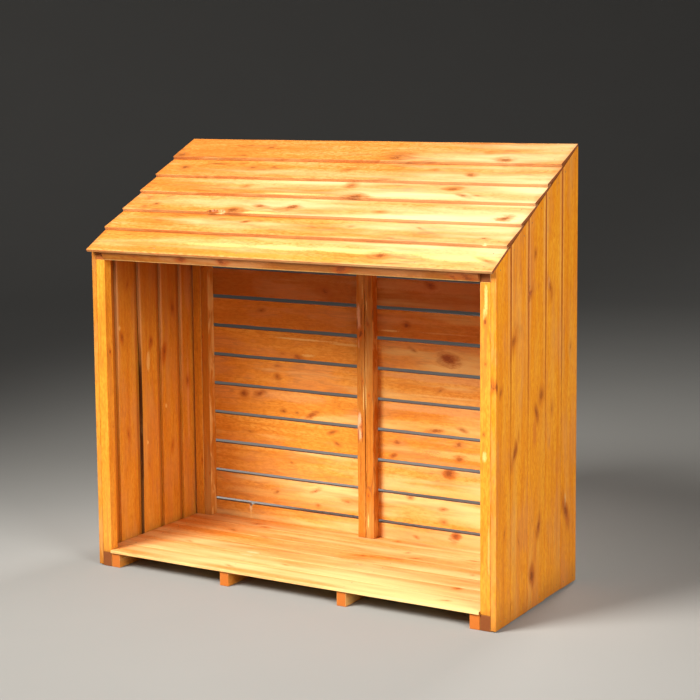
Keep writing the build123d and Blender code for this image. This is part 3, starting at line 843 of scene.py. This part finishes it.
for k, node in enumerate(("back_batten_left", "centre_post_left", "centre_post_right", "back_batten_right")):
    t = Timber(f"{node}_wood", node, solids_of(node)[0], Z, X, 560 + k, "frame_timber", round_edge=0.002)
    centre = node.startswith("centre")
    face = lambda a, b, t=t: Vector((a, t.origin.y, b))
    knots = placed(t, BATTEN_KNOTS[node], face) if centre else random_knots(t, np.random.default_rng(570 + k), 4, 4, 8)
    extra = None
    if centre:
        # rough sawn, with waney places along the arrises and shallow hollows where it tore
        wane = np.random.default_rng(590 + k)

        def extra(l, w, tt, n, rng=wane, half=t.half):
            move = still(l)
            hl, hw, ht = half
            deepen = np.clip(waves(rng, 5, (1.0,), (7.0,), l) - 0.15, 0, 1.2)
            corner = smooth((np.abs(w) / hw - 0.72) / 0.28) * np.clip(-tt / ht, 0, 1)
            torn = np.clip(waves(rng, 6, (3, 15), (12, 45), l, w) - 0.4, 0, 1)
            move[2] += (0.0030 * deepen * corner + 0.0010 * torn * np.clip(-tt / ht, 0, 1))
            return move
    t.shape(face=0.0007, edge=0.0016 if centre else 0.001, extra=extra)
    pieces[t.name] = t.make(wood(
        t, knots, pale=0.35, rings=1.3 if centre else 0.8, streaks=1.2, speckle=0.8 if centre else 0.4, deep=0.70, tint=(0.84, 1.0, 1.05), hairs=1.0 if centre else 0.5, wavy=2.2 if centre else 1.2,
        spots=placed(t, BATTEN_SPOTS.get(node, []), face)))

# floor
FLOOR_SPOTS = {
    2: [(-321, 215, 34, 8, 0.7, FRESH), (625, 162, 60, 6, 0.4, PALE)],
    3: [(167, 317, 30, 16, 0.8, FRESH), (-321, 257, 30, 10, 0.9, FRESH)],
    4: [(120, 440, 90, 4, 0.6, RUST)],
    5: [(-596, 513, 70, 5, 0.5, RUST), (-450, 560, 120, 5, 0.4, RUST)],
    6: [(-561, 656, 70, 6, 0.6, RUST), (-650, 690, 120, 10, 0.4, RUST), (300, 690, 300, 12, 0.4, RUST)],
}
for i, bm in enumerate(sorted(solids_of("floor_deck"), key=lambda b: sum(v.co.y for v in b.verts) / len(b.verts)), 1):
    t = Timber(f"floor_board_{i}", "floor_deck", bm, X, Y, 600 + i, "floor_boards", round_edge=0.001)
    to_world = lambda a, b, t=t: Vector((a, b - Y_MID, t.origin.z))
    t.shape(face=0.0005, edge=0.0005)
    # the floor boards pale more towards the open front: weather bleaching together with painted light
    pieces[t.name] = t.make(wood(
        t, placed(t, FLOOR_KNOTS[i], to_world), pale=0.9, rings=1.0, streaks=0.9, speckle=0.55, bleach_and_light=(0.150 - 0.016 * i, 0.05), patchy=0.5, hairs=0.5,
        bleach_across=-0.01, spots=placed(t, FLOOR_SPOTS.get(i, []), to_world), tint=(1.02, 1.06, 1.6)))
for i, bm in enumerate(solids_of("floor_bearers"), 1):
    t = Timber(f"floor_bearer_{i}", "floor_bearers", bm, Y, X, 620 + i, "frame_timber", round_edge=0.002)
    t.shape(face=0.0004, edge=0.0005)
    pieces[t.name] = t.make(wood(
        t, random_knots(t, np.random.default_rng(630 + i), 2, 4, 8), pale=0.2, rings=0.6, dirt=0.1,
        ends=(srgb(214, 120, 40), srgb(180, 88, 26))))


# ------------------------------------------------------------------ nails
def nails(name, heads, radius=0.0026, thick=0.0014):
    """Flat nail heads in one mesh. Each is (place on the surface, direction out of it)."""
    bm = bmesh.new()
    for place, out in heads:
        turn = out.to_track_quat("Z", "Y").to_matrix()
        rings = []
        for r, h in ((radius, -thick), (radius, -0.0003), (radius * 0.82, 0.0)):
            rings.append([bm.verts.new(place + turn @ Vector((r * math.cos(a), r * math.sin(a), h)))
                          for a in (2 * math.pi * k / 10 for k in range(10))])
        for low, high in zip(rings, rings[1:]):
            for k in range(10):
                bm.faces.new((low[k], low[(k + 1) % 10], high[(k + 1) % 10], high[k]))
        bm.faces.new(rings[-1])
        bm.faces.new(rings[0][::-1])
    bm.normal_update()
    me = bpy.data.meshes.new(name)
    bm.to_mesh(me)
    bm.free()
    ob = bpy.data.objects.new(name, me)
    bpy.context.scene.collection.objects.link(ob)
    me.materials.append(NAIL)
    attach(ob, "root")
    pieces[name] = ob


NAIL = nail_material()
rng = np.random.default_rng(77)
near = lambda v: v + rng.uniform(-0.004, 0.004)
heads = []
for i in range(1, 7):
    lift, (t1, t0) = ROOF_LIFT[i], ROOF_THICK[i]
    length = 0.17714 if i == 6 else 0.160
    places = [(sx * 0.891, b) for sx in (-1, 1) for b in (0.032, 0.118)]
    if i == 1:
        places += [(x, 0.030) for x in (-0.60, -0.20, 0.20, 0.60)]
    out = (OFF_ROOF + UP_ROOF * ((lift + t1 - t0) / length)).normalized()
    for x, b in places:
        x, b = near(x), near(b)
        n = lift + t1 + (t0 - lift - t1) * b / length
        heads.append((ROOF_LOW + X * x + UP_ROOF * (ROOF_STARTS[i - 1] + b) + OFF_ROOF * n - out * 0.0001, out))
nails("nails_roof", heads)
FRONTS = {"left": (0.0, 0.131, 0.286, 0.440, 0.588, 0.751), "right": (0.0, 0.114, 0.270, 0.430, 0.584, 0.751)}
for side, sx in (("left", -1), ("right", 1)):
    heads = []
    for a, b in zip(FRONTS[side], FRONTS[side][1:]):
        for y in (a + 0.040, b - 0.030):
            for z in (0.034, 1.3453 + (y + 0.0305) * ST / CT - 0.030):
                yy, zz = min(near(y), 0.722), near(z)
                heads.append((Vector((sx * 0.93495, yy - Y_MID, zz)), X * sx))
    nails(f"nails_{side}_wall", heads)
heads = []
for i in range(1, 14):
    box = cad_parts[f"back_board_{i:02d}"].bound_box
    mid = sum(c[2] for c in box) / 8
    for x in (-0.891, -0.8485, -0.035, 0.006, 0.8485, 0.891):
        for dz in (-0.034, 0.034):
            heads.append((Vector((near(x), 0.74585 - Y_MID, near(mid + dz))), Y.copy()))
nails("nails_back", heads)
heads = []
for i in range(6):
    y0 = -0.009 + i * 0.1225
    for x in (-0.846, -0.290, 0.266, 0.846):
        for dy in (0.030, 0.092):
            heads.append((Vector((near(x), near(y0 + dy) - Y_MID, 0.07295)), Z.copy()))
nails("nails_floor", heads)


# ------------------------------------------------------------------ floor, light, camera
def stage_floor():
    """A round pale floor that turns up far away, so that no edge shows behind the piece."""
    profile = [(0.0, 0.0), (4.0, 0.0), (9.0, 0.0)]
    profile += [(9.0 + 9.0 * math.sin(a), 9.0 - 9.0 * math.cos(a)) for a in (math.radians(5 * k) for k in range(1, 16))]
    bm = bmesh.new()
    middle, last = bm.verts.new((0, 0, 0)), None
    for r, h in profile[1:]:
        ring = [bm.verts.new((r * math.cos(a), r * math.sin(a), h)) for a in (math.pi * k / 48 for k in range(96))]
        for k in range(96):
            j = (k + 1) % 96
            bm.faces.new((middle, ring[k], ring[j]) if last is None else (last[k], ring[k], ring[j], last[j]))
        last = ring
    bm.normal_update()
    me = bpy.data.meshes.new("stage_floor")
    bm.to_mesh(me)
    bm.free()
    me.polygons.foreach_set("use_smooth", np.ones(len(me.polygons), bool))
    ob = bpy.data.objects.new("stage_floor", me)
    bpy.context.scene.collection.objects.link(ob)
    T = Tree("stage_floor")
    at = T.add("ShaderNodeTexCoord", out=3)
    n = T.noise(at, scale=1.5, detail=3.0)
    me.materials.append(T.finish(Base_Color=T.mix(n, (0.30, 0.30, 0.297), (0.315, 0.315, 0.312)), Roughness=0.9))


stage_floor()

world = bpy.data.worlds.new("studio")
bpy.context.scene.world = world
world.use_nodes = True
world.node_tree.nodes["Background"].inputs[0].default_value = (1.0, 0.965, 0.92, 1)
world.node_tree.nodes["Background"].inputs[1].default_value = 0.085


def softbox(name, place, target, size, watts, colour=(1, 1, 1), spread=180):
    data = bpy.data.lights.new(name, "AREA")
    data.shape, data.size, data.size_y, data.energy, data.color = "RECTANGLE", size[0], size[1], watts, colour
    data.spread = math.radians(spread)
    ob = bpy.data.objects.new(name, data)
    bpy.context.scene.collection.objects.link(ob)
    ob.location = place
    ob.rotation_mode = "QUATERNION"
    ob.rotation_quaternion = (Vector(target) - Vector(place)).to_track_quat("-Z", "Y")
    return ob


softbox("key", (-2.9, -5.3, 5.5), (0.55, 0, 0.6), (3.2, 3.2), 210, (1.0, 0.96, 0.88), spread=70)
softbox("side", (5.6, -2.6, 3.0), (0, 0, 0.8), (3.2, 3.2), 122, (1.0, 0.96, 0.88), spread=100)
softbox("behind", (0.3, 4.8, 3.4), (-0.1, 0.39, 1.1), (1.2, 1.2), 18, (1.0, 0.97, 0.93), spread=44)

# camera
YAW, PITCH, ROLL = 0.53423949, 0.11464908, 0.00884553
fwd = Vector((-math.sin(YAW) * math.cos(PITCH), math.cos(YAW) * math.cos(PITCH), -math.sin(PITCH)))
right = Vector((math.cos(YAW), math.sin(YAW), 0))
down = fwd.cross(right)
r2 = math.cos(ROLL) * right + math.sin(ROLL) * down
d2 = -math.sin(ROLL) * right + math.cos(ROLL) * down
cam_data = bpy.data.cameras.new("camera")
cam_data.sensor_width = 36.0
cam_data.lens = 1704.606 / 700 * 36.0
cam_data.shift_x = (350 - 348.47) / 700
cam_data.shift_y = (274.04 - 350) / 700
cam_data.clip_end = 200.0
camera = bpy.data.objects.new("camera", cam_data)
bpy.context.scene.collection.objects.link(camera)
m = Matrix((r2, -d2, -fwd)).transposed().to_4x4()
m.translation = Vector((3.60048, -5.55773 - Y_MID, 2.05578))
camera.matrix_world = m
bpy.context.scene.camera = camera
bpy.context.scene.view_settings.view_transform = "Standard"
bpy.context.scene.view_settings.look = "None"

print("TRIANGLES", sum(len(p.vertices) - 2 for o in pieces.values() for p in o.data.polygons))
